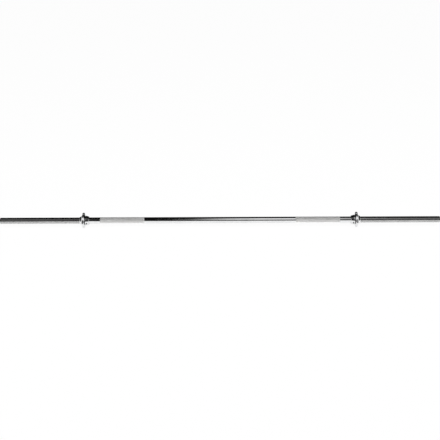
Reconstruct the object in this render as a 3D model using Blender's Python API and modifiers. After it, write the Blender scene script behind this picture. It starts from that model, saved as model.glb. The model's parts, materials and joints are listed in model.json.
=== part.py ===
"""Standard one-inch barbell with threaded ends and star nuts.

The bar is one solid steel rod along X with its middle at the origin. On each end it carries a
tapered stop collar held by a grub screw, and a six-lobed star nut with a rubber ring let into
the face that grips the plates. The nut runs along the threaded end and unscrews right off it.
Metres, +Z up. At rest each nut is home against its stop collar, standing on two of its lobes.
"""

import math

import bmesh
import bpy
from mathutils import Matrix, Vector

# The bar, whose diameter at the ends is that over the thread
BAR_LENGTH = 1.8288
BAR_DIAMETER = 0.0254
END_CHAMFER = 0.0020
GRIP_START = 0.3137  # from the middle of the bar to the inner end of each knurled grip
GRIP_LENGTH = 0.1840
GRIP_RISE = 0.00015  # how far rolling the knurl lifts the surface
GRIP_RUNOUT = 0.0006

# The stop collars, from the nose that faces the hands to the rim that stops the plates
COLLAR_START = 0.5440  # from the middle of the bar to the end of the nose
NOSE_LENGTH = 0.0105
RIM_WIDTH = 0.0050
NOSE_WALL = 0.0032
RIM_WALL = 0.0065
COLLAR_EDGE = 0.0008
COLLAR_BORE_CHAMFER = 0.0005

# The grub screws
SCREW_DIAMETER = 0.0060
SCREW_PLACE = 0.0095  # from the end of the nose
SCREW_DROP = math.radians(15)  # how far the screws point below the level, towards -Y
SCREW_POINT = 0.0008
SCREW_EDGE = 0.0004
SCREW_SINK = 0.0002  # how far the head stays under the collar's skin
SOCKET_WIDTH = 0.0030  # across the flats
SOCKET_DEPTH = 0.0024

# The rubber rings
RING_THICKNESS = 0.0044
RING_WIDTH = 0.0044
RING_PROUD = 0.0018  # how far it stands out of the nut's face
RING_EDGE = 0.0006

# The star nuts
LOBES = 6
SCALLOP_WALL = 0.0047  # metal between the ring's seat and the floor of a scallop
LOBE_HEIGHT = 0.0090  # from the floor of a scallop to the tip of a lobe
LOBE_DIAMETER = 0.0150
STAR_THICKNESS = 0.0110
STAR_CROWN = 0.0008  # how much thinner each side is at the rim than at the hub
STAR_ROUNDING = 0.0030
FACE_LAND = 0.0006  # flat band round the ring's seat
HUB_WALL = 0.0037
HUB_HEIGHT = 0.0089
HUB_DRAFT = 0.0010
HUB_ROOT = 0.0015
HUB_EDGE = 0.0014
NUT_BORE_CHAMFER = 0.0008

# Clearances
SEAT_GAP = 0.0003  # between pieces that touch
RUN_GAP = 0.0004  # round the bar in the nut
RING_GAP = 0.0009  # round the bar in the rubber ring

# Fineness of the round shapes
ROUND_STEPS = 48
SMALL_STEPS = 24
FILLET_STEPS = 3
LOBE_STEPS = 4  # from the tip of a lobe to where it meets the scallop
SCALLOP_STEPS = 3  # from there to the floor of the scallop
SMOOTH_BELOW = math.radians(35)

BAR_RADIUS = BAR_DIAMETER / 2
BAR_END = BAR_LENGTH / 2
COLLAR_BORE = BAR_RADIUS + SEAT_GAP
COLLAR_WIDTH = NOSE_LENGTH + RIM_WIDTH
RING_START = COLLAR_START + COLLAR_WIDTH + SEAT_GAP
RING_BORE = BAR_RADIUS + RING_GAP
RING_RADIUS = RING_BORE + RING_WIDTH
NUT_START = RING_START + RING_PROUD
NUT_BORE = BAR_RADIUS + RUN_GAP
RING_SEAT_RADIUS = RING_RADIUS + SEAT_GAP
RING_SEAT_DEPTH = RING_THICKNESS - RING_PROUD + SEAT_GAP


def clear_scene():
    for old in list(bpy.data.objects):
        bpy.data.objects.remove(old, do_unlink=True)


def new_collection(name):
    collection = bpy.data.collections.new(name)
    bpy.context.scene.collection.children.link(collection)
    return collection


def finish(name, colour, metallic, roughness):
    made = bpy.data.materials.new(name)
    made.use_nodes = True
    shader = made.node_tree.nodes["Principled BSDF"]
    shader.inputs["Base Color"].default_value = (*colour, 1.0)
    shader.inputs["Metallic"].default_value = metallic
    shader.inputs["Roughness"].default_value = roughness
    return made


def arc(along, radius, size, start, end):
    """An outline's rounded corner about a centre, with angles in degrees from the bar's axis."""
    turns = [start + (end - start) * step / FILLET_STEPS for step in range(FILLET_STEPS + 1)]
    return [
        (along + size * math.cos(math.radians(turn)), radius + size * math.sin(math.radians(turn)))
        for turn in turns
    ]


def turned(name, outline, steps, closed):
    """A mesh turned about X from (along, radius) points. A closed outline makes a ring, and an
    open one starts and ends on the axis."""
    count = len(outline)
    profile = bpy.data.meshes.new(name + "_outline")
    edges = [(i, (i + 1) % count) for i in range(count if closed else count - 1)]
    profile.from_pydata([(along, 0.0, radius) for along, radius in outline], edges, [])
    blank = bpy.data.objects.new(name + "_blank", profile)
    bpy.context.scene.collection.objects.link(blank)
    lathe = blank.modifiers.new("Lathe", "SCREW")
    lathe.axis = "X"
    lathe.steps = steps
    lathe.render_steps = steps
    lathe.use_merge_vertices = True
    lathe.merge_threshold = 0.00001
    graph = bpy.context.evaluated_depsgraph_get()
    mesh = bpy.data.meshes.new_from_object(blank.evaluated_get(graph))
    mesh.name = name
    bpy.data.objects.remove(blank, do_unlink=True)
    bpy.data.meshes.remove(profile)
    tidy = bmesh.new()
    tidy.from_mesh(mesh)
    bmesh.ops.remove_doubles(tidy, verts=tidy.verts, dist=0.000001)
    return finished(tidy, mesh)


def finished(work, mesh):
    """Puts a shape into its mesh with its faces out, smooth where it is round."""
    bmesh.ops.recalc_face_normals(work, faces=work.faces)
    work.to_mesh(mesh)
    work.free()
    mesh.shade_smooth()
    mesh.set_sharp_from_angle(angle=SMOOTH_BELOW)
    return mesh


def bar_mesh():
    """The whole rod: chamfered ends, plain stretches and the two raised grips."""
    raised = BAR_RADIUS + GRIP_RISE
    grip_end = GRIP_START + GRIP_LENGTH
    half = [
        (BAR_END, 0.0),
        (BAR_END, BAR_RADIUS - END_CHAMFER),
        (BAR_END - END_CHAMFER, BAR_RADIUS),
        (grip_end, BAR_RADIUS),
        (grip_end - GRIP_RUNOUT, raised),
        (GRIP_START + GRIP_RUNOUT, raised),
        (GRIP_START, BAR_RADIUS),
    ]
    other_half = [(-along, radius) for along, radius in reversed(half)]
    return turned("bar", half + other_half, ROUND_STEPS, closed=False)


def collar_radius(along):
    """The stop collar's outer radius at a distance from the end of its nose."""
    share = min(1.0, along / NOSE_LENGTH)
    return COLLAR_BORE + NOSE_WALL + (RIM_WALL - NOSE_WALL) * share


def stop_collar_mesh():
    """The stop collar, from the end of its nose at 0: a taper that grows into a plain rim."""
    nose = collar_radius(0.0)
    rim = collar_radius(NOSE_LENGTH)
    outline = [
        (0.0, COLLAR_BORE + COLLAR_BORE_CHAMFER),
        *arc(COLLAR_EDGE, nose - COLLAR_EDGE, COLLAR_EDGE, 180, 105),
        (NOSE_LENGTH, rim),
        *arc(COLLAR_WIDTH - COLLAR_EDGE, rim - COLLAR_EDGE, COLLAR_EDGE, 90, 0),
        (COLLAR_WIDTH, COLLAR_BORE + COLLAR_BORE_CHAMFER),
        (COLLAR_WIDTH - COLLAR_BORE_CHAMFER, COLLAR_BORE),
        (COLLAR_BORE_CHAMFER, COLLAR_BORE),
    ]
    return turned("stop_collar", outline, ROUND_STEPS, closed=True)


def screw_head():
    """How far the grub screw's head stands from the bar's axis, just under the lowest skin
    round its hole."""
    radius = SCREW_DIAMETER / 2
    skin = collar_radius(SCREW_PLACE - radius)
    return math.sqrt(skin**2 - radius**2) - SCREW_SINK


def grub_screw_mesh():
    """The grub screw along +Y, from its bevelled point just off the bar to its head."""
    foot = BAR_RADIUS + SEAT_GAP
    head = screw_head()
    radius = SCREW_DIAMETER / 2
    outline = [
        (head, 0.0),
        (head, radius - SCREW_EDGE),
        (head - SCREW_EDGE, radius),
        (foot + SCREW_POINT, radius),
        (foot, radius - SCREW_POINT),
        (foot, 0.0),
    ]
    mesh = turned("grub_screw", outline, SMALL_STEPS, closed=False)
    mesh.transform(Matrix.Translation((SCREW_PLACE, 0.0, 0.0)) @ Matrix.Rotation(math.pi / 2, 4, "Z"))
    return mesh


def cutter_mesh(name, sides, radius, start, end):
    """A prism along +Y over the grub screw's axis, to cut its hole or its socket."""
    place = Matrix.Translation((SCREW_PLACE, (start + end) / 2, 0.0))
    lay_down = Matrix.Rotation(math.pi / 2, 4, "X")
    work = bmesh.new()
    bmesh.ops.create_cone(
        work,
        cap_ends=True,
        segments=sides,
        radius1=radius,
        radius2=radius,
        depth=end - start,
        matrix=place @ lay_down,
    )
    return finished(work, bpy.data.meshes.new(name))


def star_point(column, inset):
    """A point on the star's rim, moved in by an inset, as (side, up). A lobe is one arc and a
    scallop is another that meets it smoothly. Columns are counted round from a lobe's tip."""
    columns = 2 * (LOBE_STEPS + SCALLOP_STEPS)
    lobe_number = round(column / columns)
    from_tip = column - lobe_number * columns
    lobe = LOBE_DIAMETER / 2
    floor = RING_SEAT_RADIUS + SCALLOP_WALL
    lobe_centre = floor + LOBE_HEIGHT - lobe
    half_pitch = math.pi / LOBES
    level = lobe_centre * math.cos(half_pitch)
    scallop = (lobe**2 - floor**2 + 2 * level * floor - lobe_centre**2) / (2 * (floor - level - lobe))
    scallop_centre = (floor + scallop) * Vector((math.cos(half_pitch), math.sin(half_pitch)))
    meeting = math.atan2(scallop_centre.y, scallop_centre.x - lobe_centre)
    if abs(from_tip) <= LOBE_STEPS:
        turn = meeting * abs(from_tip) / LOBE_STEPS
        size = lobe - inset
        point = Vector((lobe_centre + size * math.cos(turn), size * math.sin(turn)))
    else:
        share = (LOBE_STEPS + SCALLOP_STEPS - abs(from_tip)) / SCALLOP_STEPS
        turn = half_pitch + math.pi + (meeting - half_pitch) * share
        size = scallop + inset
        point = scallop_centre + size * Vector((math.cos(turn), math.sin(turn)))
    if from_tip < 0:
        point.y = -point.y
    return Matrix.Rotation(2 * half_pitch * lobe_number, 2) @ point


def star_nut_mesh():
    """The star nut, from its gripping face at 0: a turned blank whose rim is drawn in to the
    lobes and scallops, with the same rounding all the way round. Each face is flat by the hub
    and falls away towards the rim."""
    tip = RING_SEAT_RADIUS + SCALLOP_WALL + LOBE_HEIGHT
    hub = NUT_BORE + HUB_WALL
    hub_end = STAR_THICKNESS + HUB_HEIGHT
    low = STAR_CROWN
    high = STAR_THICKNESS - STAR_CROWN
    rounding = min(STAR_ROUNDING, (high - low) * 0.45)
    shoulder = tip - rounding
    land = RING_SEAT_RADIUS + FACE_LAND
    root = hub + HUB_ROOT
    outline = [
        (0.0, RING_SEAT_RADIUS),
        (0.0, land),
        (STAR_CROWN / 4, (land + shoulder) / 2),
        *arc(low + rounding, shoulder, rounding, 180, 90),
        *arc(high - rounding, shoulder, rounding, 90, 0),
        (STAR_THICKNESS - STAR_CROWN / 4, (root + shoulder) / 2),
        *arc(STAR_THICKNESS + HUB_ROOT, root, HUB_ROOT, 180, 270),
        (hub_end - HUB_EDGE, hub - HUB_DRAFT),
        (hub_end, hub - HUB_DRAFT - HUB_EDGE),
        (hub_end, NUT_BORE + NUT_BORE_CHAMFER),
        (hub_end - NUT_BORE_CHAMFER, NUT_BORE),
        (RING_SEAT_DEPTH + NUT_BORE_CHAMFER, NUT_BORE),
        (RING_SEAT_DEPTH, NUT_BORE + NUT_BORE_CHAMFER),
        (RING_SEAT_DEPTH, RING_SEAT_RADIUS),
    ]
    columns = 2 * (LOBE_STEPS + SCALLOP_STEPS) * LOBES
    nut = turned("star_nut", outline, columns, closed=True)
    for corner in nut.vertices:
        along, side, up = corner.co
        radius = math.hypot(side, up)
        inner = land if along < STAR_THICKNESS / 2 else root
        if radius <= inner + SEAT_GAP:
            continue
        column = round(math.atan2(up, side) / (2 * math.pi) * columns)
        rim = star_point(column, min(rounding, tip - radius))
        share = min(1.0, (radius - inner) / (shoulder - inner))
        round_face = Vector((side, up)) * inner / radius
        corner.co = (along, *round_face.lerp(rim, share))
    nut.set_sharp_from_angle(angle=SMOOTH_BELOW)
    return nut


def rubber_ring_mesh():
    """The rubber ring, from its gripping face at 0, with rounded corners outside."""
    outline = [
        (0.0, RING_BORE),
        *arc(RING_EDGE, RING_RADIUS - RING_EDGE, RING_EDGE, 180, 90),
        *arc(RING_THICKNESS - RING_EDGE, RING_RADIUS - RING_EDGE, RING_EDGE, 90, 0),
        (RING_THICKNESS, RING_BORE),
    ]
    return turned("rubber_ring", outline, ROUND_STEPS, closed=True)


def place(name, mesh, parent, along, collection):
    """An object on the bar's axis, at a distance along it from the middle."""
    piece = bpy.data.objects.new(name, mesh)
    piece.parent = parent
    piece.location = (along, 0.0, 0.0)
    collection.objects.link(piece)
    return piece


def cut(piece, cutter_name, mesh, cutters):
    """Takes a cutter in the same place away from a piece."""
    cutter = place(cutter_name, mesh, piece.parent, piece.location.x, cutters)
    cutter.rotation_euler = piece.rotation_euler
    cutter.hide_render = True
    cutter.display_type = "WIRE"
    boolean = piece.modifiers.new("Cut", "BOOLEAN")
    boolean.operation = "DIFFERENCE"
    boolean.solver = "EXACT"
    boolean.object = cutter


def build():
    clear_scene()
    barbell = new_collection("barbell")
    cutters = new_collection("cutters")

    bar = bar_mesh()
    bar.materials.append(finish("bar_chrome", (0.78, 0.79, 0.80), 1.0, 0.08))
    collar = stop_collar_mesh()
    collar.materials.append(finish("collar_chrome", (0.74, 0.75, 0.76), 1.0, 0.12))
    screw = grub_screw_mesh()
    screw.materials.append(finish("black_steel", (0.05, 0.05, 0.055), 0.9, 0.45))
    ring = rubber_ring_mesh()
    ring.materials.append(finish("black_rubber", (0.02, 0.02, 0.02), 0.0, 0.75))
    nut = star_nut_mesh()
    nut.materials.append(finish("nut_chrome", (0.76, 0.77, 0.78), 1.0, 0.12))

    hole_radius = SCREW_DIAMETER / 2 + SEAT_GAP
    hole = cutter_mesh("screw_hole", SMALL_STEPS, hole_radius, BAR_RADIUS / 2, 2 * screw_head())
    socket_radius = SOCKET_WIDTH / 2 / math.cos(math.pi / 6)
    socket_floor = screw_head() - SOCKET_DEPTH
    socket = cutter_mesh("socket", 6, socket_radius, socket_floor, 2 * screw_head())

    place("bar", bar, None, 0.0, barbell)
    for side, half_turn in (("right", 0.0), ("left", math.pi)):
        end = place(side + "_end", None, None, 0.0, barbell)
        end.rotation_euler = (0.0, half_turn, 0.0)
        towards_front = math.pi + SCREW_DROP * math.cos(half_turn)  # both screws look down, not one
        stop_collar = place(side + "_stop_collar", collar, end, COLLAR_START, barbell)
        stop_collar.rotation_euler = (towards_front, 0.0, 0.0)
        cut(stop_collar, side + "_screw_hole", hole, cutters)
        grub_screw = place(side + "_grub_screw", screw, end, COLLAR_START, barbell)
        grub_screw.rotation_euler = stop_collar.rotation_euler
        cut(grub_screw, side + "_socket", socket, cutters)
        place(side + "_rubber_ring", ring, end, RING_START, barbell)
        place(side + "_star_nut", nut, end, NUT_START, barbell)


build()
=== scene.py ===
# %% [markdown]
# A one-inch barbell
#
# The real object is a six foot steel rod, an inch thick and plated with chrome. Two knurled
# bands give the hands a grip. Near each end a stop collar is held on by a grub screw, and from
# there outward the rod is threaded for a six-lobed star nut, which clamps the weight plates.
#
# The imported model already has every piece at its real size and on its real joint. This lesson
# dresses it: each piece is made again with the detail that plain solids leave out, in the same
# place, and stands for its solid. All lengths are metres, and MM turns millimetres into metres.

import json
import math
import typing

import bmesh
import bpy
import numpy as np
from mathutils import Matrix, Vector


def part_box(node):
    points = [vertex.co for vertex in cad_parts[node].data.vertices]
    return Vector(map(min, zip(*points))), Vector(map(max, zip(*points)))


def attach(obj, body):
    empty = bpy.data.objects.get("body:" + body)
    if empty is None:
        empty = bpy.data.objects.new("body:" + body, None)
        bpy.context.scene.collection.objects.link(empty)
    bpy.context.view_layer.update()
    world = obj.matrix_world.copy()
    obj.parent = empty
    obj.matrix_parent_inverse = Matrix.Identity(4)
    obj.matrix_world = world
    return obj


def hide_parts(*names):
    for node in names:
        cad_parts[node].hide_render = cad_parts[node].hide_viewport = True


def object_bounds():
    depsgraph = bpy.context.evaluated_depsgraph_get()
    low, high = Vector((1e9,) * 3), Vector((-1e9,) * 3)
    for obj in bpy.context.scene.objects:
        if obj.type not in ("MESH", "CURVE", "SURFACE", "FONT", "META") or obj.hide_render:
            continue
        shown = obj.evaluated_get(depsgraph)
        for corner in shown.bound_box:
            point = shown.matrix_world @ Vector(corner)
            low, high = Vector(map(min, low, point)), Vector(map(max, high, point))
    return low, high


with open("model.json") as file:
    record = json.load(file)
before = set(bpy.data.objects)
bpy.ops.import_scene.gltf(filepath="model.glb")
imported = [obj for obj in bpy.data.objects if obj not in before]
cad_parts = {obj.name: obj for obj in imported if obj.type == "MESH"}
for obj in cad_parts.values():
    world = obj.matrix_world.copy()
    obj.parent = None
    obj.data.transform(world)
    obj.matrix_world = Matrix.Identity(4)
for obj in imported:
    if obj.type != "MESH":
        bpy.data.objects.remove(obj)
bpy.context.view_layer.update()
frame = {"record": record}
MM = 0.001

# %% [markdown]
# Sizes
#
# A scene that measures its solids can't drift away from them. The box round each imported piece
# says where it starts and stops along the rod and how far it reaches from the axis. Only what
# a box can't say, such as a wall or a chamfer, is written down as a number: the rod's sizes
# here, and those of each other piece where it is made.

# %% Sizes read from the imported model
def span(node):
    """Where a piece of the right-hand end starts and stops along the rod, and its reach."""
    low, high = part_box(node)
    return low.x, high.x, high.y


ROD_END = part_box("bar")[1].x
GRIP_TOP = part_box("bar")[1].z
COLLAR_START, COLLAR_STOP, COLLAR_REACH = span("right_stop_collar")
RUBBER_START, RUBBER_STOP, RUBBER_REACH = span("right_rubber_ring")
NUT_START, NUT_STOP, NUT_REACH = span("right_star_nut")
SCREW_START, SCREW_STOP = span("right_grub_screw")[:2]
couplings = frame["record"]["behaviour"]["couplings"]
travel_per_radian = next(c["ratio"] for c in couplings if c["joint"] == "right_travel")
PITCH = travel_per_radian * 2 * math.pi
print("The nut moves", round(PITCH / MM, 3), "mm in a turn, which is the pitch of its thread")

# %% Sizes of the rod that its box doesn't tell
ROD_RADIUS = 12.7 * MM
END_CHAMFER = 2.0 * MM
GRIP_START = 313.7 * MM
GRIP_STOP = 497.7 * MM
KNURL_CELL = 2.5 * MM  # the length of a diamond along the rod
KNURL_SINK = 0.30 * MM  # how far the valleys lie below the plain rod
THREAD_START = COLLAR_STOP + 1.1 * MM
THREAD_DEPTH = 1.2 * MM
print("Each grip is", round((GRIP_STOP - GRIP_START) / MM, 1), "mm long")
print("Each thread is", round((ROD_END - THREAD_START) / MM, 1), "mm long")

# %% [markdown]
# The camera
#
# The picture takes in the whole bar from the front and above. The bar fills 439.45 of the
# picture's 440 pixels, and its two ends look the same size, so the camera stands level with
# its middle. How high it stands shows in the star nuts, whose near lobes sit lower and further
# out than their far ones. The bar climbs a little to the right, which is the camera's own tilt.

# %% Camera
PICTURE = 440  # pixels on each side
BAR_IN_PICTURE = 439.45  # pixels from end to end
CAMERA_AWAY = 3.0  # from the middle of the bar
CAMERA_CLIMB = math.radians(30)
CAMERA_TILT = math.radians(-0.2125)
SENSOR = 36.0  # millimetres, as lenses are measured

pixels_per_metre = BAR_IN_PICTURE / (2 * ROD_END)
lens = bpy.data.cameras.new("camera")
lens.sensor_width = SENSOR
lens.lens = pixels_per_metre * CAMERA_AWAY * SENSOR / PICTURE
camera = bpy.data.objects.new("camera", lens)
bpy.context.scene.collection.objects.link(camera)
look_down = Matrix.Rotation(math.pi / 2 - CAMERA_CLIMB, 4, "X")
stand_back = Matrix.Translation((0.0, 0.0, CAMERA_AWAY))
tilt = Matrix.Rotation(CAMERA_TILT, 4, "Z")
camera.matrix_world = look_down @ stand_back @ tilt
bpy.context.scene.camera = camera
bpy.context.scene.view_settings.view_transform = "Standard"
print("The lens is", round(lens.lens, 2), "mm")

# %% [markdown]
# Wiring shaders
#
# A finish on metal is a small network of nodes. Adding each node by hand takes five lines, so
# a helper adds one, sets its inputs or links them, and hands back what it puts out.

# %% A helper for nodes
NOISE_SPAN = (0.3, 0.7)  # where most of a noise's values lie


class Net:
    """Wires nodes in one shader, world or group. A method below add gives back an output."""

    def __init__(self, tree):
        self.tree = tree

    def add(self, kind, inputs=None, **settings):
        """A new node. An input is a number, a colour or another node's output."""
        made = self.tree.nodes.new(kind)
        for name, value in settings.items():
            setattr(made, name, value)
        for name, value in (inputs or {}).items():
            if isinstance(value, bpy.types.NodeSocket):
                self.tree.links.new(value, made.inputs[name])
            else:
                made.inputs[name].default_value = value
        return made

    def maths(self, operation, first, second=0.0):
        return self.add("ShaderNodeMath", {0: first, 1: second}, operation=operation).outputs[0]

    def ramp(self, value, start, stop, low=0.0, high=1.0):
        """Runs softly from low to high as the value goes from start to stop."""
        inputs = {"Value": value, "From Min": start, "From Max": stop, "To Min": low, "To Max": high}
        return self.add("ShaderNodeMapRange", inputs, interpolation_type="SMOOTHSTEP").outputs["Result"]

    def mix(self, share, first, second):
        """Runs from the first colour to the second."""
        mixer = self.add("ShaderNodeMix", {0: share, 6: first, 7: second}, data_type="RGBA")
        return mixer.outputs[2]

    def vector(self, operation, first, second):
        return self.add("ShaderNodeVectorMath", {0: first, 1: second}, operation=operation).outputs[0]

    def noise(self, place, size, detail, roughness):
        """Cloudy noise whose largest clouds are about as wide as size."""
        scale = self.maths("DIVIDE", 1.0, size)
        inputs = {"Vector": place, "Scale": scale, "Detail": detail, "Roughness": roughness}
        return self.add("ShaderNodeTexNoise", inputs).outputs["Fac"]

    def spread(self, noise, low, high):
        """Spreads a noise's own span out from low to high."""
        return self.ramp(noise, *NOISE_SPAN, low, high)

    def off_axis(self, place):
        """How far a place is from the rod's axis, which lies along X."""
        flat = self.vector("MULTIPLY", place, (0.0, 1.0, 1.0))
        return self.add("ShaderNodeVectorMath", {0: flat}, operation="LENGTH").outputs["Value"]


# %% [markdown]
# What the chrome reflects
#
# Chrome has hardly any look of its own: what shows is the room. In the picture the lower half
# of the rod mirrors the white floor, a dark line runs along its top edge, and the right-hand
# half has a grey band that the left hasn't, which is one large panel overhead. The plain rod
# shows no walls, because it mirrors only what lies square to it. The knurl's slanted facets and
# the rounded edges of the nuts look further aside and are bright, so there are white walls on
# the left and the right, and a faint veil between each of them and the panel.
#
# A room of real lamps and cards could be built, but the world can hold it as a pattern of
# directions, with no noise and nothing that a pose could touch. The climb is counted in degrees
# from the horizon in front, up over the top and down behind. Aside is how far a direction leans
# to the right, from -1 to 1. The camera itself sees plain white.

# %% The glowing cards
class Card(typing.NamedTuple):
    """A glowing card: each edge is where its glow starts and where it's full. Its sides can
    lean to the right by so much for each degree of climb above its foot."""

    foot: tuple
    head: tuple
    left: tuple
    right: tuple
    level: float
    lean: float = 0.0


# Each card's foot, head, left and right edges, its level, and its lean if it has one
CARDS = {
    "panel": Card((32, 42), (100, 82), (-0.070, 0.035), (0.24, 0.08), 0.88, 0.0004),
    "left_wall": Card((-2, 2), (94, 86), (-3.0, -2.0), (-0.50, -0.56), 1.0),
    "right_wall": Card((-2, 2), (94, 86), (0.50, 0.56), (3.0, 2.0), 1.0),
    "left_veil": Card((15, 35), (92, 84), (-0.50, -0.28), (-0.17, -0.21), 0.17),
    "right_veil": Card((15, 35), (92, 84), (0.17, 0.21), (0.50, 0.28), 0.22),
}
print("The studio has", len(CARDS), "cards:", ", ".join(CARDS))

# %% The studio as a pattern of directions
DARK_LEVEL = 0.005
WHITE = (1.0, 1.0, 1.0, 1.0)

world = bpy.data.worlds.new("studio")
bpy.context.scene.world = world
world.use_nodes = True
world.node_tree.nodes.clear()
studio = Net(world.node_tree)
direction = studio.add("ShaderNodeTexCoord").outputs["Generated"]
ways = studio.add("ShaderNodeSeparateXYZ", {"Vector": direction}).outputs
forward = studio.maths("MULTIPLY", ways["Y"], -1.0)
climb = studio.maths("DEGREES", studio.maths("ARCTAN2", ways["Z"], forward))
aside = ways["X"]
room = DARK_LEVEL
for card in CARDS.values():
    upward = studio.maths("MULTIPLY", studio.ramp(climb, *card.foot), studio.ramp(climb, *card.head))
    above_foot = studio.maths("SUBTRACT", climb, card.foot[1])
    along = studio.maths("SUBTRACT", aside, studio.maths("MULTIPLY", above_foot, card.lean))
    sideways = studio.maths("MULTIPLY", studio.ramp(along, *card.left), studio.ramp(along, *card.right))
    glow = studio.maths("MULTIPLY", studio.maths("MULTIPLY", upward, sideways), card.level)
    room = studio.maths("ADD", glow, room)
seen_by_camera = studio.add("ShaderNodeLightPath").outputs["Is Camera Ray"]
level = studio.maths("MAXIMUM", room, seen_by_camera)
backdrop = studio.add("ShaderNodeBackground", {"Color": WHITE, "Strength": level})
studio.add("ShaderNodeOutputWorld", {"Surface": backdrop.outputs["Background"]})
print("The studio has", len(world.node_tree.nodes), "nodes")

# %% [markdown]
# Lamps
#
# Two large lamps, one on each side above the bar, light the rubber, the screws and the floor
# softly. The chrome doesn't mirror them, because its reflections are already drawn above.

# %% Lamps
def soft_lamp(name, place, size, watts):
    light = bpy.data.lights.new(name, "AREA")
    light.shape = "SQUARE"
    light.size = size
    light.energy = watts
    lamp = bpy.data.objects.new(name, light)
    lamp.location = place
    lamp.rotation_euler = Vector(place).to_track_quat("Z", "Y").to_euler()
    lamp.visible_glossy = False
    bpy.context.scene.collection.objects.link(lamp)
    print(f"{name}: {watts} watts from a square {size} m wide")


soft_lamp("lamp_left", place=(-1.6, -0.9, 2.4), size=1.6, watts=26.0)
soft_lamp("lamp_right", place=(1.6, -0.5, 2.4), size=1.6, watts=26.0)

# %% [markdown]
# Effects that several finishes share
#
# Tool marks, haze, grime, scuffs and grain turn up on more than one piece. The grime and the
# scuffs also carry painted shade, in the rod's grooves and on the star's lobes. Each could be
# wired again in every material, but a node group with named inputs is built once, and every
# material sets its own values. A group puts out only a mask or a height. The shader itself, and
# what depends on the view, stays in the material.

# %% Build the groups
def start_group(name, inputs, output):
    """The net of a new node group that puts out one number, and the group's inputs."""
    tree = bpy.data.node_groups.new(name, "ShaderNodeTree")
    tree.interface.new_socket("Place", in_out="INPUT", socket_type="NodeSocketVector")
    for label, value in inputs.items():
        socket = tree.interface.new_socket(label, in_out="INPUT", socket_type="NodeSocketFloat")
        socket.default_value = value
    tree.interface.new_socket(output, in_out="OUTPUT", socket_type="NodeSocketFloat")
    net = Net(tree)
    return net, net.add("NodeGroupInput").outputs


def tool_marks():
    """Fine rings left by a grinding wheel or a lathe tool, faint and broken along their length."""
    net, inputs = start_group("tool_marks", {"Spacing": 0.3 * MM, "Length": 20 * MM}, "Height")
    across = net.maths("DIVIDE", 1.0, inputs["Spacing"])
    along = net.maths("DIVIDE", 1.0, inputs["Length"])
    stretch = net.add("ShaderNodeCombineXYZ", {"X": across, "Y": along, "Z": along}).outputs[0]
    place = net.vector("MULTIPLY", inputs["Place"], stretch)
    net.add("NodeGroupOutput", {"Height": net.noise(place, 1.0, detail=2.0, roughness=0.6)})
    return net.tree


def handling():
    """Patches of haze where hands and cloths have dulled a bright finish."""
    speck = 0.08  # the size of the specks that break up a patch's edge, as a share of the patch
    breaking = 0.3  # how strongly they do
    sinking = 0.5  # how far the clouds would sink with no cover at all
    net, inputs = start_group("handling", {"Size": 60 * MM, "Cover": 0.5}, "Haze")
    wide = net.noise(inputs["Place"], inputs["Size"], detail=3.0, roughness=0.55)
    speck_size = net.maths("MULTIPLY", inputs["Size"], speck)
    fine = net.noise(inputs["Place"], speck_size, detail=2.0, roughness=0.6)
    specks = net.maths("MULTIPLY", net.maths("SUBTRACT", fine, 0.5), breaking)
    sunk = net.maths("MULTIPLY", net.maths("SUBTRACT", 1.0, inputs["Cover"]), sinking)
    clouds = net.maths("SUBTRACT", net.maths("ADD", wide, specks), sunk)
    net.add("NodeGroupOutput", {"Haze": net.ramp(clouds, start=0.1, stop=0.45)})
    return net.tree


def grime_and_shade():
    """Oil, dust and painted shade that darken a groove, from its crest radius down to its root radius.
    """
    groove = {"Crest": ROD_RADIUS, "Root": ROD_RADIUS - THREAD_DEPTH}
    net, inputs = start_group("grime_and_shade", groove, "Grime and shade")
    depth = net.ramp(net.off_axis(inputs["Place"]), inputs["Crest"], inputs["Root"])
    clouds = net.noise(inputs["Place"], 9 * MM, detail=3.0, roughness=0.6)
    patchy = net.ramp(clouds, start=0.3, stop=0.65, low=0.6, high=1.0)
    net.add("NodeGroupOutput", {"Grime and shade": net.maths("MULTIPLY", depth, patchy)})
    return net.tree


def rubbing():
    """Fine scuffs where a piece reaches out and meets hands, plates and floors. On the star nuts this
    mask also carries painted shade.
    """
    squeeze = (1.0, 0.35, 2.2)  # longer streaks along Y and shorter ones along Z
    net, inputs = start_group("rubbing", {"Clear": 20 * MM, "Worn": 30 * MM}, "Scuffs")
    reach = net.ramp(net.off_axis(inputs["Place"]), inputs["Clear"], inputs["Worn"])
    squeezed = net.vector("MULTIPLY", inputs["Place"], squeeze)
    streaks = net.noise(squeezed, 1.4 * MM, detail=4.0, roughness=0.7)
    scuffs = net.ramp(streaks, start=0.5, stop=0.68)
    net.add("NodeGroupOutput", {"Scuffs": net.maths("MULTIPLY", reach, scuffs)})
    return net.tree


def grain():
    """A fine even grain, as on moulded rubber, oxidised steel or plate over a casting."""
    net, inputs = start_group("grain", {"Size": 0.4 * MM}, "Height")
    height = net.noise(inputs["Place"], inputs["Size"], detail=3.0, roughness=0.55)
    net.add("NodeGroupOutput", {"Height": height})
    return net.tree


EFFECTS = {tree.name: tree for tree in (tool_marks(), handling(), grime_and_shade(), rubbing(), grain())}
print("Shared effects:", ", ".join(EFFECTS))

# %% [markdown]
# Finishes
#
# Every finish starts in the same way: a Principled shader, and the piece's own coordinates to
# hang the effects on, so that they stay in place when the piece moves. Chrome is a plain metal
# whose roughness does the work. A little haze and a few tool marks stop it looking like a
# computer's mirror.

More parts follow.
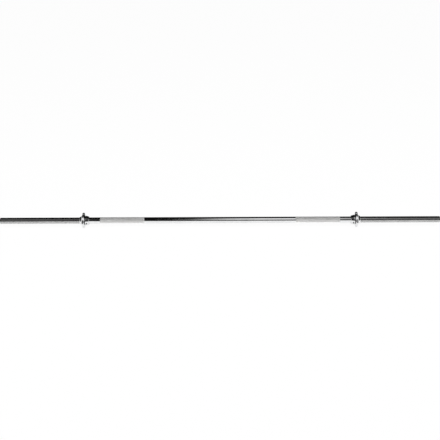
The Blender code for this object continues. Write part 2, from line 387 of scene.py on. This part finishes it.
# %% Start a finish
class Finish(Net):
    """A material with its Principled shader, wired from places on the piece."""

    def __init__(self, name, metallic):
        self.material = bpy.data.materials.new(name)
        self.material.use_nodes = True
        super().__init__(self.material.node_tree)
        self.shader = self.tree.nodes["Principled BSDF"]
        self.shader.inputs["Metallic"].default_value = metallic
        self.place = self.add("ShaderNodeTexCoord").outputs["Object"]

    def effect(self, name, **values):
        """The mask or height of a shared effect, with this finish's own values."""
        inputs = {"Place": self.place, **values}
        return self.add("ShaderNodeGroup", inputs, node_tree=EFFECTS[name]).outputs[0]

    def rougher(self, roughness, *patches):
        """The roughness, raised by each patch's mask times its amount."""
        for mask, amount in patches:
            roughness = self.maths("ADD", roughness, self.maths("MULTIPLY", mask, amount))
        return roughness

    def wire(self, colour, roughness, height, depth):
        """Feeds the shader. A height of 1 stands out by depth, in metres."""
        self.tree.links.new(colour, self.shader.inputs["Base Color"])
        self.tree.links.new(roughness, self.shader.inputs["Roughness"])
        bump = self.add("ShaderNodeBump", {"Height": height, "Distance": depth, "Strength": 1.0})
        self.tree.links.new(bump.outputs["Normal"], self.shader.inputs["Normal"])
        print(f"{self.material.name}: {len(self.tree.nodes)} nodes")
        return self.material


# %% [markdown]
# Chrome on the rod
#
# The rod has three kinds of surface. Between the grips it was ground and polished, so it is a
# long clean mirror with the faintest rings. On the grips a wheel has pressed diamonds into it,
# whose facets scatter the light. Their chrome is painted lighter than the rod's, which is
# painted light, and their valleys are darker, with dirt and painted shade. On the threads the
# plate is thinner and duller, and the flanks and roots are nearly black, with oil and painted shade.

# %% Finishes of the rod
def ground_chrome():
    bright = (0.83, 0.835, 0.84, 1.0)
    hazy = (0.77, 0.775, 0.78, 1.0)
    finish = Finish("ground_chrome", metallic=1.0)
    marks = finish.effect("tool_marks", Spacing=0.25 * MM, Length=30 * MM)
    haze = finish.effect("handling", Size=70 * MM, Cover=0.45)
    polish = finish.spread(marks, low=0.045, high=0.075)
    roughness = finish.rougher(polish, (haze, 0.05))
    return finish.wire(finish.mix(haze, bright, hazy), roughness, marks, depth=0.002 * MM)


def knurled_chrome():
    # Lighter than the rod's ground chrome: painted light, standing in for the light that the facets
    # catch.
    clean = (0.97, 0.97, 0.97, 1.0)
    # Darker in the valleys: dirt, and painted shade.
    dirty_and_shaded = (0.90, 0.895, 0.88, 1.0)
    crest = GRIP_TOP - KNURL_SINK / 3  # the tops of the diamonds stay clean, and the dirt and painted shade start below them
    valley = ROD_RADIUS - KNURL_SINK
    finish = Finish("knurled_chrome", metallic=1.0)
    grain = finish.effect("grain", Size=0.3 * MM)
    dirt_and_shade = finish.effect("grime_and_shade", Crest=crest, Root=valley)
    haze = finish.effect("handling", Size=40 * MM, Cover=0.6)
    roughness = finish.rougher(0.38, (haze, 0.08), (dirt_and_shade, 0.15))
    return finish.wire(finish.mix(dirt_and_shade, clean, dirty_and_shaded), roughness, grain, depth=0.004 * MM)


def threaded_chrome():
    # Nearly black on the thread's flanks and roots: oil, and painted shade in the grooves.
    clean = (0.80, 0.80, 0.80, 1.0)
    oily_and_shaded = (0.05, 0.048, 0.045, 1.0)
    crest = ROD_RADIUS - THREAD_DEPTH / 24  # the oil and painted shade start just below the crests
    oil_and_shade_line = ROD_RADIUS - THREAD_DEPTH / 3  # and cover the metal from here down
    finish = Finish("threaded_chrome", metallic=1.0)
    marks = finish.effect("tool_marks", Spacing=0.2 * MM, Length=12 * MM)
    oil_and_shade = finish.effect("grime_and_shade", Crest=crest, Root=oil_and_shade_line)
    haze = finish.effect("handling", Size=50 * MM, Cover=0.5)
    roughness = finish.rougher(0.09, (haze, 0.06), (oil_and_shade, 0.2))
    return finish.wire(finish.mix(oil_and_shade, clean, oily_and_shaded), roughness, marks, depth=0.003 * MM)


# %% [markdown]
# Chrome on the collars and nuts
#
# The stop collars were turned from bar, so their rings are coarser than the rod's. The star
# nuts were cast and polished before plating: they have no tool marks, but their mirror is a
# little wavy. The lobes grow darker towards their tips: partly scuffs from plates and floors,
# partly painted shade that stands in for the dark their chrome mirrors.

# %% Finishes of the turned and cast pieces
SCALLOP_FLOOR = 23.0 * MM  # from the axis to the bottom of the dips between the star's lobes


def turned_chrome():
    bright = (0.79, 0.795, 0.80, 1.0)
    scuffed = (0.62, 0.62, 0.62, 1.0)
    unworn = COLLAR_REACH - 1.2 * MM
    finish = Finish("turned_chrome", metallic=1.0)
    marks = finish.effect("tool_marks", Spacing=0.35 * MM, Length=40 * MM)
    scuffs = finish.effect("rubbing", Clear=unworn, Worn=COLLAR_REACH)
    polish = finish.spread(marks, low=0.07, high=0.12)
    roughness = finish.rougher(polish, (scuffs, 0.2))
    return finish.wire(finish.mix(scuffs, bright, scuffed), roughness, marks, depth=0.004 * MM)


def cast_chrome():
    bright = (0.81, 0.815, 0.82, 1.0)
    scuffed = (0.60, 0.60, 0.60, 1.0)
    finish = Finish("cast_chrome", metallic=1.0)
    waves = finish.effect("grain", Size=3.5 * MM)
    # Darker towards the lobes' tips: scuffs from plates and floors, and painted shade.
    scuffs = finish.effect("rubbing", Clear=SCALLOP_FLOOR, Worn=NUT_REACH)
    haze = finish.effect("handling", Size=18 * MM, Cover=0.5)
    roughness = finish.rougher(0.06, (haze, 0.05), (scuffs, 0.22))
    return finish.wire(finish.mix(scuffs, bright, scuffed), roughness, waves, depth=0.02 * MM)


# %% [markdown]
# Black pieces
#
# The grub screws are steel with a black oxide skin, worn grey in patches. Black paint would
# hide the metal under it, so the oxide is a very dark metal instead, and a noise wears it away.
# The rings are moulded rubber, matt, with a fine grain, and patches of dust on it come from the
# same effect that makes haze on the chrome.

# %% Finishes of the screws and rings
def black_oxide():
    oxide = (0.045, 0.045, 0.05, 1.0)
    steel = (0.24, 0.235, 0.23, 1.0)
    finish = Finish("black_oxide", metallic=1.0)
    skin = finish.effect("grain", Size=0.25 * MM)
    patches = finish.noise(finish.place, 0.9 * MM, detail=4.0, roughness=0.65)
    worn = finish.ramp(patches, start=0.52, stop=0.7)
    roughness = finish.spread(skin, low=0.36, high=0.5)
    return finish.wire(finish.mix(worn, oxide, steel), roughness, skin, depth=0.006 * MM)


def moulded_rubber():
    rubber = (0.016, 0.016, 0.017, 1.0)
    dusty = (0.055, 0.053, 0.05, 1.0)
    finish = Finish("moulded_rubber", metallic=0.0)
    skin = finish.effect("grain", Size=0.35 * MM)
    dust = finish.effect("handling", Size=10 * MM, Cover=0.35)
    roughness = finish.spread(skin, low=0.68, high=0.85)
    return finish.wire(finish.mix(dust, rubber, dusty), roughness, skin, depth=0.03 * MM)


# %% [markdown]
# Skins made of rings
#
# Nearly every piece here is round, so its skin is a row of rings round the X axis. A Screw
# modifier turns a profile into such a skin, but it can't make a knurl, a lobed rim or a thread
# that fades out. Rings of points make all of them, and patches of rings that share their edges
# are sewn into one closed skin. In a thread each ring climbs as it goes round, and its end
# meets the start of a ring further on. Smooth shading would bend the mirror of a cone or a
# cylinder near its edges, so long straight stretches get one more ring close to each end, and
# the bend stays between the two.

# %% Patches of rings
SEW = 0.002 * MM  # points closer than this are one point
CREASE = math.radians(40)


class Skin:
    """The skin of one piece, gathered as patches of rings and then sewn."""

    def __init__(self):
        self.points = []
        self.faces = []
        self.finishes = []

    def add(self, points, faces, finish):
        """Points, and faces that are numbered from the first of them."""
        first = len(self.points)
        self.points.extend(np.reshape(points, (-1, 3)).tolist())
        self.faces.extend((np.asarray(faces) + first).tolist())
        self.finishes.extend([finish] * len(faces))

    def patch(self, rings, finish=0, climb=0, inside=False, diamonds=False):
        """Faces between rings. A ring's end meets its own start, or the start of the ring
        that lies climb rings on. Diamonds splits the faces along crossing grooves."""
        rows, count = len(rings), len(rings[0])
        numbers = np.arange(rows * count).reshape(rows, count)
        rounds = np.hstack([numbers[: rows - climb], numbers[climb:, :1]])
        corners = (rounds[:-1, :-1], rounds[:-1, 1:], rounds[1:, 1:], rounds[1:, :-1])
        quads = np.stack(corners, axis=-1)
        if inside:
            quads = quads[..., ::-1]
        if diamonds:
            even = (np.indices(quads.shape[:2]).sum(axis=0) % 2 == 0)[..., None]
            one_half = np.where(even, quads[..., [0, 1, 2]], quads[..., [0, 1, 3]])
            other_half = np.where(even, quads[..., [0, 2, 3]], quads[..., [1, 2, 3]])
            faces = np.concatenate([one_half, other_half]).reshape(-1, 3)
        else:
            faces = quads.reshape(-1, 4)
        self.add(rings, faces, finish)

    def halve(self, fine, coarse, finish):
        """Triangles between a ring and the next one, which has half as many points."""
        count = len(coarse)
        here = np.arange(count)
        after = (here + 1) % count
        middle = 2 * here + 1
        low, high, top, top_after = 2 * here, 2 * after, 2 * count + here, 2 * count + after
        trios = [(low, middle, top), (middle, top_after, top), (middle, high, top_after)]
        faces = np.concatenate([np.stack(trio, axis=-1) for trio in trios])
        self.add(np.concatenate([fine, coarse]), faces, finish)

    def add_other_end(self):
        """The same skin again, turned end for end about Y."""
        turned = np.array(self.points) * (-1.0, 1.0, -1.0)
        count = len(self.points)
        self.points.extend(turned.tolist())
        self.faces.extend([[corner + count for corner in face] for face in self.faces])
        self.finishes.extend(self.finishes)

    def mesh(self, name, *finishes):
        """Sews the patches, closes flat ends and shades it smooth up to the creases."""
        made = bpy.data.meshes.new(name)
        made.from_pydata(self.points, [], self.faces)
        for finish in finishes:
            made.materials.append(finish)
        made.polygons.foreach_set("material_index", self.finishes)
        work = bmesh.new()
        work.from_mesh(made)
        bmesh.ops.remove_doubles(work, verts=work.verts, dist=SEW)
        rims = [edge for edge in work.edges if edge.is_boundary]
        if rims:
            bmesh.ops.edgeloop_fill(work, edges=rims)
        bmesh.ops.recalc_face_normals(work, faces=work.faces)
        loose = sum(not edge.is_manifold for edge in work.edges)
        triangles = sum(len(face.verts) - 2 for face in work.faces)
        work.to_mesh(made)
        work.free()
        made.shade_smooth()
        made.set_sharp_from_angle(angle=CREASE)
        print(f"{name}: {triangles} triangles, {loose} edges left open")
        return made


# %% Rings, rounded corners and threads
def ring(along, radius, count):
    """Points round the axis, from the back over the top, at one or many places along it."""
    turns = 2 * np.pi * np.arange(count) / count
    places = np.broadcast_to(along, count)
    return np.column_stack([places, radius * np.cos(turns), radius * np.sin(turns)])


def rings(outline, count):
    return [ring(along, radius, count) for along, radius in outline]


def corner(along, radius, size, start, stop, steps=6):
    """A rounded corner's points about its centre, between two angles from the axis."""
    turns = np.radians(np.linspace(start, stop, steps + 1))
    return [(along + size * math.cos(turn), radius + size * math.sin(turn)) for turn in turns]


def hold_flats(outline, margin=0.2 * MM, shortest=1.0 * MM):
    """The outline with a point added just inside each end of its long straight stretches, so
    that smooth shading bends only there and the rest mirrors like a true cone or cylinder."""
    held = [outline[0]]
    for start, stop in zip(outline, outline[1:]):
        length = math.dist(start, stop)
        if length > shortest:
            for share in (margin / length, 1 - margin / length):
                held.append(tuple(here + (there - here) * share for here, there in zip(start, stop)))
        held.append(stop)
    return held


def thread_rings(start, stop, pitch, profile, count, radius_of):
    """Rings that climb one pitch in a turn between two places. The profile gives each ring's
    share of the pitch and its depth from 0 to 1, and radius_of turns those into a radius."""
    climb = pitch * np.arange(count) / count
    first = (math.floor(start / pitch) - 1) * pitch
    made = []
    for turn in range(math.ceil((stop - first) / pitch) + 2):
        for share, depth in profile:
            along = np.clip(first + (turn + share) * pitch + climb, start, stop)
            made.append(ring(along, radius_of(along, depth), count))
    return made


# %% [markdown]
# Where the pieces go
#
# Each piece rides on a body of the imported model, so it moves as that body's joint moves, and it
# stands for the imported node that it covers. The two ends of the bar are alike. A Mirror
# modifier would turn the right-hand threads of one end into left-hand threads, so the left-hand
# pieces are the right-hand ones turned end for end instead.

# %% Put a piece in the scene
def dress(name, mesh, body, node):
    """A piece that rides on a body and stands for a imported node."""
    piece = bpy.data.objects.new(name, mesh)
    bpy.context.scene.collection.objects.link(piece)
    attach(piece, body)
    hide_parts(node)
    print(name, "rides on", body, "and stands for", node)


def dress_both_ends(kind, mesh, bodies, node, turn=0.0):
    """The right-hand piece and the left-hand one, which is turned end for end. Both are then
    turned about the rod."""
    other = mesh.copy()
    other.transform(Matrix.Rotation(math.pi, 4, "Y"))
    for made in (mesh, other):
        made.transform(Matrix.Rotation(turn, 4, "X"))
    dress("right_" + kind, mesh, bodies["right"], "right_" + node)
    dress("left_" + kind, other, bodies["left"], "left_" + node)


# %% [markdown]
# The rod
#
# The rod is one piece of steel, so its skin is one closed mesh. The grips are pressed by a
# knurling wheel, which leaves a diamond between each pair of crossing grooves. A Displace
# modifier could press them in, but it would need many points for each diamond. Here each has
# only its own corners: points of the grid are raised and sunk in turn like a chessboard, and
# each face is folded along its groove. The thread is a coarse one with flat crests and roots.
# Its groove fades in past the stop collar, and its end is cut off by the chamfer.

# %% The rod's rings
FINE = 112  # points round the plain rod and the grips, two to a diamond
COARSE = FINE // 2  # points round the thread
JOIN = COLLAR_STOP - 3 * MM  # under the stop collar, where the finer rings give way
JOIN_WIDTH = 1.0 * MM
ROD_PROFILE = ((0.0, 0.0), (0.54, 0.0), (0.66, 1.0), (0.88, 1.0))  # crest, then root


def knurl_rings():
    rows = 2 * round((GRIP_STOP - GRIP_START) / KNURL_CELL)
    print("A grip has", rows // 2, "diamonds along it and", FINE // 2, "round it")
    around = np.arange(FINE)
    made = []
    for row in range(rows + 1):
        along = GRIP_START + (GRIP_STOP - GRIP_START) * row / rows
        raised = (row + around) % 2 == 1
        radius = np.where(raised, GRIP_TOP, ROD_RADIUS - KNURL_SINK)
        if row in (0, rows):
            radius = ROD_RADIUS
        made.append(ring(along, radius, FINE))
    return made


def rod_radius(along, depth):
    """The threaded end's radius, with its groove faded in over one turn and its end chamfered."""
    fade = np.clip((along - THREAD_START) / PITCH, 0.0, 1.0)
    grooved = ROD_RADIUS - THREAD_DEPTH * depth * fade * fade * (3 - 2 * fade)
    chamfered = ROD_RADIUS - END_CHAMFER + ROD_END - along
    return np.minimum(grooved, chamfered)


# %% Make the rod
GROUND, KNURLED, THREADED = range(3)  # the rod's finishes, in their order on its mesh

rod = Skin()
rod.patch(rings([(0.0, ROD_RADIUS), (GRIP_START, ROD_RADIUS)], FINE), GROUND)
rod.patch(knurl_rings(), KNURLED, diamonds=True)
rod.patch(rings([(GRIP_STOP, ROD_RADIUS), (JOIN, ROD_RADIUS)], FINE), GROUND)
after_join = JOIN + JOIN_WIDTH
rod.halve(ring(JOIN, ROD_RADIUS, FINE), ring(after_join, ROD_RADIUS, COARSE), GROUND)
rod.patch(rings([(after_join, ROD_RADIUS), (THREAD_START, ROD_RADIUS)], COARSE), GROUND)
thread = thread_rings(THREAD_START, ROD_END, PITCH, ROD_PROFILE, COARSE, rod_radius)
rod.patch(thread, THREADED, climb=len(ROD_PROFILE))
rod.add_other_end()
rod_mesh = rod.mesh("rod", ground_chrome(), knurled_chrome(), threaded_chrome())
for face in rod_mesh.polygons:
    if face.material_index == KNURLED:
        face.use_smooth = False
dress("rod", rod_mesh, "bar", "bar")

# %% [markdown]
# The stop collars and their screws
#
# A stop collar is turned from bar with a tapered nose towards the hands and a plain rim
# towards the plates. Its screw hole is drilled, so it is cut with a Boolean. The grub screw
# has a real thread and a six-sided socket, made with the same ring helper and another Boolean.

# %% Drill and cut
screw_middle = (SCREW_START + SCREW_STOP) / 2
screw_radius = (SCREW_STOP - SCREW_START) / 2


def prism(name, sides, radius, start, stop):
    """A straight cutter along Y, on the axis that the grub screw has before it is turned."""
    place = Matrix.Translation((screw_middle, (start + stop) / 2, 0.0))
    work = bmesh.new()
    bmesh.ops.create_cone(
        work,
        cap_ends=True,
        segments=sides,
        radius1=radius,
        radius2=radius,
        depth=stop - start,
        matrix=place @ Matrix.Rotation(math.pi / 2, 4, "X"),
    )
    made = bpy.data.meshes.new(name)
    work.to_mesh(made)
    work.free()
    return made


def cut_out(mesh, tool):
    """The mesh with the tool's shape taken out of it."""
    blank = bpy.data.objects.new("blank", mesh)
    cutter = bpy.data.objects.new("cutter", tool)
    for made in (blank, cutter):
        bpy.context.scene.collection.objects.link(made)
    boolean = blank.modifiers.new("Cut", "BOOLEAN")
    boolean.operation = "DIFFERENCE"
    boolean.solver = "EXACT"
    boolean.object = cutter
    graph = bpy.context.evaluated_depsgraph_get()
    cut = bpy.data.meshes.new_from_object(blank.evaluated_get(graph))
    for made in (blank, cutter):
        bpy.data.objects.remove(made, do_unlink=True)
    cut.shade_smooth()
    cut.set_sharp_from_angle(angle=CREASE)
    print(f"{mesh.name}: cut, {len(mesh.polygons)} faces became {len(cut.polygons)}")
    return cut


# %% The stop collars
COLLAR_BORE = 13.0 * MM
BORE_CHAMFER = 0.5 * MM
NOSE_LENGTH = 10.5 * MM
NOSE_RADIUS = 16.2 * MM
NOSE_SLOPE = 105  # the degrees at which the nose's rounded edge runs into its cone
COLLAR_EDGE = 0.8 * MM
SCREW_GAP = 0.3 * MM
SCREW_DROP = math.radians(15)  # how far the screws point below the level, towards the front
HOLE_SIDES = 48


def collar_outline():
    near = COLLAR_START + COLLAR_EDGE
    far = COLLAR_STOP - COLLAR_EDGE
    return [
        (COLLAR_START, COLLAR_BORE + BORE_CHAMFER),
        *corner(near, NOSE_RADIUS - COLLAR_EDGE, COLLAR_EDGE, 180, NOSE_SLOPE),
        (COLLAR_START + NOSE_LENGTH, COLLAR_REACH),
        *corner(far, COLLAR_REACH - COLLAR_EDGE, COLLAR_EDGE, 90, 0),
        (COLLAR_STOP, COLLAR_BORE + BORE_CHAMFER),
        (COLLAR_STOP - BORE_CHAMFER, COLLAR_BORE),
        (COLLAR_START + BORE_CHAMFER, COLLAR_BORE),
        (COLLAR_START, COLLAR_BORE + BORE_CHAMFER),
    ]


collar = Skin()
collar.patch(rings(hold_flats(collar_outline()), FINE))
hole = prism("hole", HOLE_SIDES, screw_radius + SCREW_GAP, ROD_RADIUS / 2, 2 * COLLAR_REACH)
collar_mesh = cut_out(collar.mesh("collar", turned_chrome()), hole)
on_rod = {"right": "bar", "left": "bar"}
to_front = math.pi + SCREW_DROP
dress_both_ends("collar", collar_mesh, on_rod, "stop_collar", to_front)

# %% The grub screws
SCREW_FOOT = 13.0 * MM  # from the rod's axis
SCREW_HEAD = 17.79 * MM
SCREW_PITCH = 1.0 * MM
SCREW_THREAD = 0.6 * MM
SCREW_POINT = 0.8 * MM
SCREW_EDGE = 0.7 * MM
SCREW_PROFILE = ((0.0, 0.0), (0.12, 0.0), (0.44, 1.0), (0.68, 1.0))
SCREW_COUNT = 36  # points round it
SOCKET_FLATS = 3.0 * MM
SOCKET_DEPTH = 2.4 * MM
SOCKET_SIDES = 6


def screw_thread_radius(along, depth):
    """The screw's radius, cut off by its bevelled point and the edge of its head."""
    grooved = screw_radius - SCREW_THREAD * depth
    point = screw_radius - SCREW_POINT + along - SCREW_FOOT
    head = screw_radius - SCREW_EDGE + SCREW_HEAD - along
    return np.minimum(grooved, np.minimum(point, head))


screw = Skin()
screw_shape = (SCREW_PITCH, SCREW_PROFILE, SCREW_COUNT, screw_thread_radius)
screw.patch(thread_rings(SCREW_FOOT, SCREW_HEAD, *screw_shape), climb=len(SCREW_PROFILE))
screw_mesh = screw.mesh("screw", black_oxide())
over_hole = Matrix.Translation((screw_middle, 0.0, 0.0))
screw_mesh.transform(over_hole @ Matrix.Rotation(math.pi / 2, 4, "Z"))
socket_radius = SOCKET_FLATS / 2 / math.cos(math.pi / SOCKET_SIDES)
socket_floor = SCREW_HEAD - SOCKET_DEPTH
socket = prism("socket", SOCKET_SIDES, socket_radius, socket_floor, 2 * SCREW_HEAD)
dress_both_ends("screw", cut_out(screw_mesh, socket), on_rod, "grub_screw", to_front)

# %% [markdown]
# The rubber rings
#
# A ring of rubber is let into each nut's gripping face. It bites the plate so that the nut
# can't shake loose. The mould leaves three shallow grooves round the face that bites. They
# could be bump in the material, but a wave in the outline makes them real, so they also show
# from the side and in the exported mesh.

# %% The rubber rings
RUBBER_BORE = 13.6 * MM
RUBBER_EDGE = 0.6 * MM
RUBBER_COUNT = 96  # points round it
GROOVES = 3
GROOVE_DEPTH = 0.35 * MM
GROOVE_STEPS = 24


def rubber_outline():
    low = RUBBER_BORE + RUBBER_EDGE
    high = RUBBER_REACH - RUBBER_EDGE
    shares = np.linspace(0.0, 1.0, GROOVE_STEPS + 1)
    waves = GROOVE_DEPTH * np.sin(math.pi * GROOVES * shares) ** 2
    face = list(zip(RUBBER_START + waves, low + (high - low) * shares))
    return [
        *corner(RUBBER_START + RUBBER_EDGE, low, RUBBER_EDGE, 270, 180),
        *face[1:-1],
        *corner(RUBBER_START + RUBBER_EDGE, high, RUBBER_EDGE, 180, 90),
        *corner(RUBBER_STOP - RUBBER_EDGE, high, RUBBER_EDGE, 90, 0),
        (RUBBER_STOP, RUBBER_BORE),
        (RUBBER_START + RUBBER_EDGE, RUBBER_BORE),
    ]


rubber = Skin()
rubber.patch(rings(rubber_outline(), RUBBER_COUNT))
rubber_mesh = rubber.mesh("rubber", moulded_rubber())
ring_bodies = {"right": "right_ring", "left": "left_ring"}
dress_both_ends("rubber", rubber_mesh, ring_bodies, "rubber_ring")

# %% [markdown]
# The star nuts
#
# The star nut is a casting with six lobes for the fingers. A curve pulled about by hand would
# give uneven lobes, so its rim is drawn with arcs: each lobe is one arc, and the scallop between
# two lobes is another that meets them smoothly. They do that where the two centres are as far
# apart as the two radii together, and the scallop's radius is worked out from it. Moving the rim
# in keeps the same centres and changes only the two radii, so the rounding over the edge stays
# even all the way round. Each face starts round at the hub and takes on the rim's outline as it
# goes out. The thread inside is the rod's own, a little larger.

# %% The star's rim
LOBES = 6
LOBE_RADIUS = 7.5 * MM
LOBE_STEPS = 8
SCALLOP_STEPS = 6
COLUMNS = 2 * (LOBE_STEPS + SCALLOP_STEPS) * LOBES
HALF_PITCH = math.pi / LOBES
LOBE_CENTRE = NUT_REACH - LOBE_RADIUS
towards_dip = LOBE_CENTRE * math.cos(HALF_PITCH)  # how far that centre lies towards a scallop
above = LOBE_RADIUS**2 - SCALLOP_FLOOR**2 + 2 * towards_dip * SCALLOP_FLOOR - LOBE_CENTRE**2
below = 2 * (SCALLOP_FLOOR - towards_dip - LOBE_RADIUS)
SCALLOP_RADIUS = above / below
dip_direction = Vector((math.cos(HALF_PITCH), math.sin(HALF_PITCH)))
SCALLOP_CENTRE = (SCALLOP_FLOOR + SCALLOP_RADIUS) * dip_direction
MEETING = math.atan2(SCALLOP_CENTRE.y, SCALLOP_CENTRE.x - LOBE_CENTRE)  # from tip to scallop
print("The scallops have a radius of", round(SCALLOP_RADIUS / MM, 2), "mm")


def rim_point(column, inset):
    """A point of the rim, moved in by an inset, counted round from the tip of a lobe."""
    lobe = round(column * LOBES / COLUMNS)
    from_tip = column - lobe * COLUMNS // LOBES
    steps = abs(from_tip)
    if steps <= LOBE_STEPS:
        turn = MEETING * steps / LOBE_STEPS
        size = LOBE_RADIUS - inset
        point = Vector((LOBE_CENTRE + size * math.cos(turn), size * math.sin(turn)))
    else:
        share = (LOBE_STEPS + SCALLOP_STEPS - steps) / SCALLOP_STEPS
        turn = HALF_PITCH + math.pi + (MEETING - HALF_PITCH) * share
        size = SCALLOP_RADIUS + inset
        point = SCALLOP_CENTRE + size * Vector((math.cos(turn), math.sin(turn)))
    if from_tip < 0:
        point.y = -point.y
    return Matrix.Rotation(2 * HALF_PITCH * lobe, 2) @ point


# %% Sizes of the star, the hub and the bore
STAR_THICKNESS = 11.0 * MM
STAR_CROWN = 0.8 * MM  # how far each face falls back from its middle to the rim
STAR_ROUNDING = 3.0 * MM
ROUNDING_STEPS = 7
SHOULDER = NUT_REACH - STAR_ROUNDING
FACE_LAND = 0.6 * MM
FACE_STEPS = 6
SEAT_RADIUS = 18.3 * MM
SEAT_DEPTH = 2.9 * MM
SEAT_LIP = 0.25 * MM
LIP_STEPS = 3
HUB_RADIUS = 16.8 * MM
HUB_DRAFT = 1.0 * MM
HUB_ROOT = 1.5 * MM
HUB_EDGE = 1.4 * MM
NUT_BORE = 13.1 * MM
NUT_CHAMFER = 0.8 * MM
THREAD_PLAY = 0.25 * MM
print("The hub is", round((NUT_STOP - NUT_START - STAR_THICKNESS) / MM, 1), "mm long")


# %% The nut's rings
def star_ring(along, radius, inner):
    """A ring that is round at the inner radius and has the rim's outline at the shoulder."""
    share = min(1.0, (radius - inner) / (SHOULDER - inner))
    inset = min(STAR_ROUNDING, NUT_REACH - radius)
    points = []
    for column in range(COLUMNS):
        turn = 2 * math.pi * column / COLUMNS
        round_point = inner * Vector((math.cos(turn), math.sin(turn)))
        points.append((NUT_START + along, *round_point.lerp(rim_point(column, inset), share)))
    return np.array(points)


def nut_rings():
    """The nut's outside, from the mouth of the bore in the seat round to the one in the hub."""
    land = SEAT_RADIUS + FACE_LAND
    root = HUB_RADIUS + HUB_ROOT
    mouth = NUT_BORE + NUT_CHAMFER
    hub_top = NUT_STOP - NUT_START
    hub_side = HUB_RADIUS - HUB_DRAFT
    shares = [step / FACE_STEPS for step in range(FACE_STEPS)]
    seat = [
        (SEAT_DEPTH, mouth),
        (SEAT_DEPTH, SEAT_RADIUS),
        *corner(SEAT_LIP, SEAT_RADIUS + SEAT_LIP, SEAT_LIP, 270, 180, LIP_STEPS),
    ]
    gripping = [(STAR_CROWN * share**2, land + (SHOULDER - land) * share) for share in shares]
    low = STAR_CROWN + STAR_ROUNDING
    high = STAR_THICKNESS - low
    gripping += corner(low, SHOULDER, STAR_ROUNDING, 180, 90, ROUNDING_STEPS)
    outer = corner(high, SHOULDER, STAR_ROUNDING, 90, 0, ROUNDING_STEPS)
    for share in reversed(shares):
        outer.append((STAR_THICKNESS - STAR_CROWN * share**2, root + (SHOULDER - root) * share))
    hub = [
        *corner(STAR_THICKNESS + HUB_ROOT, root, HUB_ROOT, 180, 270)[1:],
        *corner(hub_top - HUB_EDGE, hub_side - HUB_EDGE, HUB_EDGE, 90, 0),
        (hub_top, mouth),
    ]
    lay_out = rings([(NUT_START + along, radius) for along, radius in hold_flats(seat)], COLUMNS)
    lay_out += [star_ring(along, radius, land) for along, radius in gripping]
    lay_out += [star_ring(along, radius, root) for along, radius in outer]
    lay_out += rings([(NUT_START + along, radius) for along, radius in hold_flats(hub)], COLUMNS)
    return lay_out


def bore_radius(along, depth):
    """The nut's thread, which is the rod's with some play, opened by a cone at each mouth."""
    threaded = ROD_RADIUS + THREAD_PLAY - THREAD_DEPTH * depth
    from_mouth = np.minimum(along - NUT_START - SEAT_DEPTH, NUT_STOP - along)
    return np.maximum(threaded, NUT_BORE + NUT_CHAMFER - from_mouth)


# %% Make the nuts
nut = Skin()
nut.patch(nut_rings())
bore = thread_rings(NUT_START + SEAT_DEPTH, NUT_STOP, PITCH, ROD_PROFILE, COLUMNS, bore_radius)
nut.patch(bore, climb=len(ROD_PROFILE), inside=True)
nut_bodies = {"right": "right_nut", "left": "left_nut"}
dress_both_ends("star", nut.mesh("star", cast_chrome()), nut_bodies, "star_nut")

# %% [markdown]
# The floor
#
# The bar lies on the lowest lobes of its nuts. The floor is there only for the picture. It
# has to look white, so part of its brightness is its own glow, and the rest is lamplight that
# the bar can block, which leaves a shadow. To the camera the shadow is faint, as in the
# picture, and in the chrome it is stronger, because the bar's underside mirrors the floor
# close by.
#
# A shiny rod also mirrors the floor behind it, as a bright line along its top edge. In the
# picture that edge is black, so in the chrome the floor fades out a short way behind the bar.
# To all other light the floor is plain pale paint.

# %% The floor's paint
FLOOR_IN_PICTURE = (0.962, 0.055)  # the floor's own glow, and the paint that lamps light
FLOOR_IN_CHROME = (0.56, 0.63)  # the same two
FLOOR_PAINT = 0.8
FADE_START = 40 * MM  # behind the rod's axis, where the floor starts to fade in the chrome
FADE_STOP = 120 * MM


class FloorPaint(Net):
    """Wires the floor's shaders: plain paint, paint that also glows, and a choice of two."""

    def painted(self, shade):
        return self.add("ShaderNodeBsdfDiffuse", {"Color": (shade, shade, shade, 1.0)}).outputs[0]

    def glowing(self, glow, shade):
        light = self.add("ShaderNodeEmission", {"Strength": glow}).outputs[0]
        return self.add("ShaderNodeAddShader", {0: light, 1: self.painted(shade)}).outputs[0]

    def either(self, share, first, second):
        """The first shader where the share is 0 and the second where it is 1."""
        return self.add("ShaderNodeMixShader", {0: share, 1: first, 2: second}).outputs[0]


def floor_paint():
    material = bpy.data.materials.new("floor_paint")
    material.use_nodes = True
    material.node_tree.nodes.clear()
    paint = FloorPaint(material.node_tree)
    rays = paint.add("ShaderNodeLightPath").outputs
    place = paint.add("ShaderNodeNewGeometry").outputs["Position"]
    behind = paint.add("ShaderNodeSeparateXYZ", {0: place}).outputs["Y"]
    faded = paint.ramp(behind, FADE_START, FADE_STOP)
    in_picture = paint.glowing(*FLOOR_IN_PICTURE)
    in_chrome = paint.either(faded, paint.glowing(*FLOOR_IN_CHROME), paint.painted(shade=0.0))
    otherwise = paint.either(rays["Is Glossy Ray"], paint.painted(FLOOR_PAINT), in_chrome)
    looks = paint.either(rays["Is Camera Ray"], otherwise, in_picture)
    paint.add("ShaderNodeOutputMaterial", {"Surface": looks})
    print(f"{material.name}: {len(paint.tree.nodes)} nodes")
    return material


# %% Lay the floor
FLOOR_REACH = 30.0

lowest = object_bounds()[0].z
work = bmesh.new()
bmesh.ops.create_grid(work, x_segments=1, y_segments=1, size=FLOOR_REACH)
floor_mesh = bpy.data.meshes.new("floor")
work.to_mesh(floor_mesh)
work.free()
floor_mesh.materials.append(floor_paint())
floor = bpy.data.objects.new("floor", floor_mesh)
floor.location.z = lowest
bpy.context.scene.collection.objects.link(floor)
print("The floor is", round(-lowest / MM, 2), "mm below the rod's axis")
